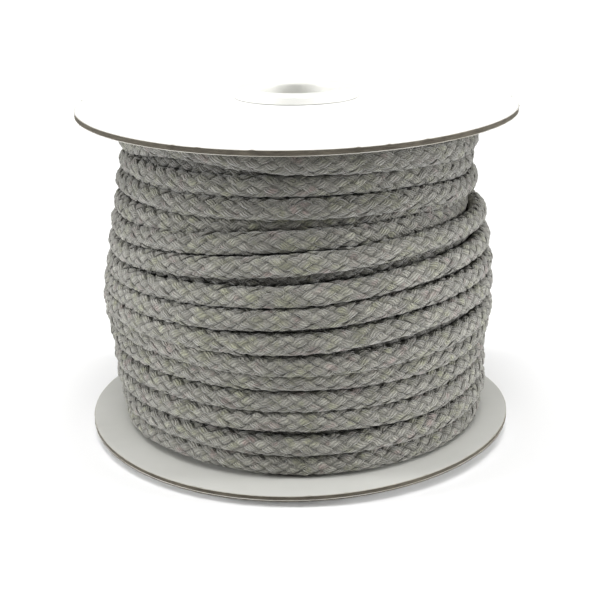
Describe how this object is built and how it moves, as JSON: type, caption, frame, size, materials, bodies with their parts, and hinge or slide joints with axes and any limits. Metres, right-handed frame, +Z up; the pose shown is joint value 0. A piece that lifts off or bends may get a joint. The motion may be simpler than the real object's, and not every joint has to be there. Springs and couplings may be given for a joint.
{
  "type": "roll of braided cotton cord",
  "caption": "Grey marl braided cotton cord wound in uneven turns on a spool with round white card ends and a plastic hub.",
  "frame": {"origin": "on the spool's axis, at the height of the lower bushing's resting face", "axes": "+Z up along the spool's axis, -Y towards the viewer of the picture, +X to the viewer's right"},
  "size_m": [0.11, 0.11, 0.0885],
  "materials": {
    "cord": "grey marl cotton yarn in a round herringbone braid, matt and slightly hairy",
    "card": "grey board faced with smooth white paper on both sides, cut edge left raw",
    "hub": "plain white moulded plastic, softly satin"
  },
  "bodies": {
    "root": {"cord_roll": "cord", "top_card": "card", "bottom_card": "card", "hub_tube": "hub", "top_collar": "hub", "bottom_collar": "hub"}
  },
  "joints": []
}
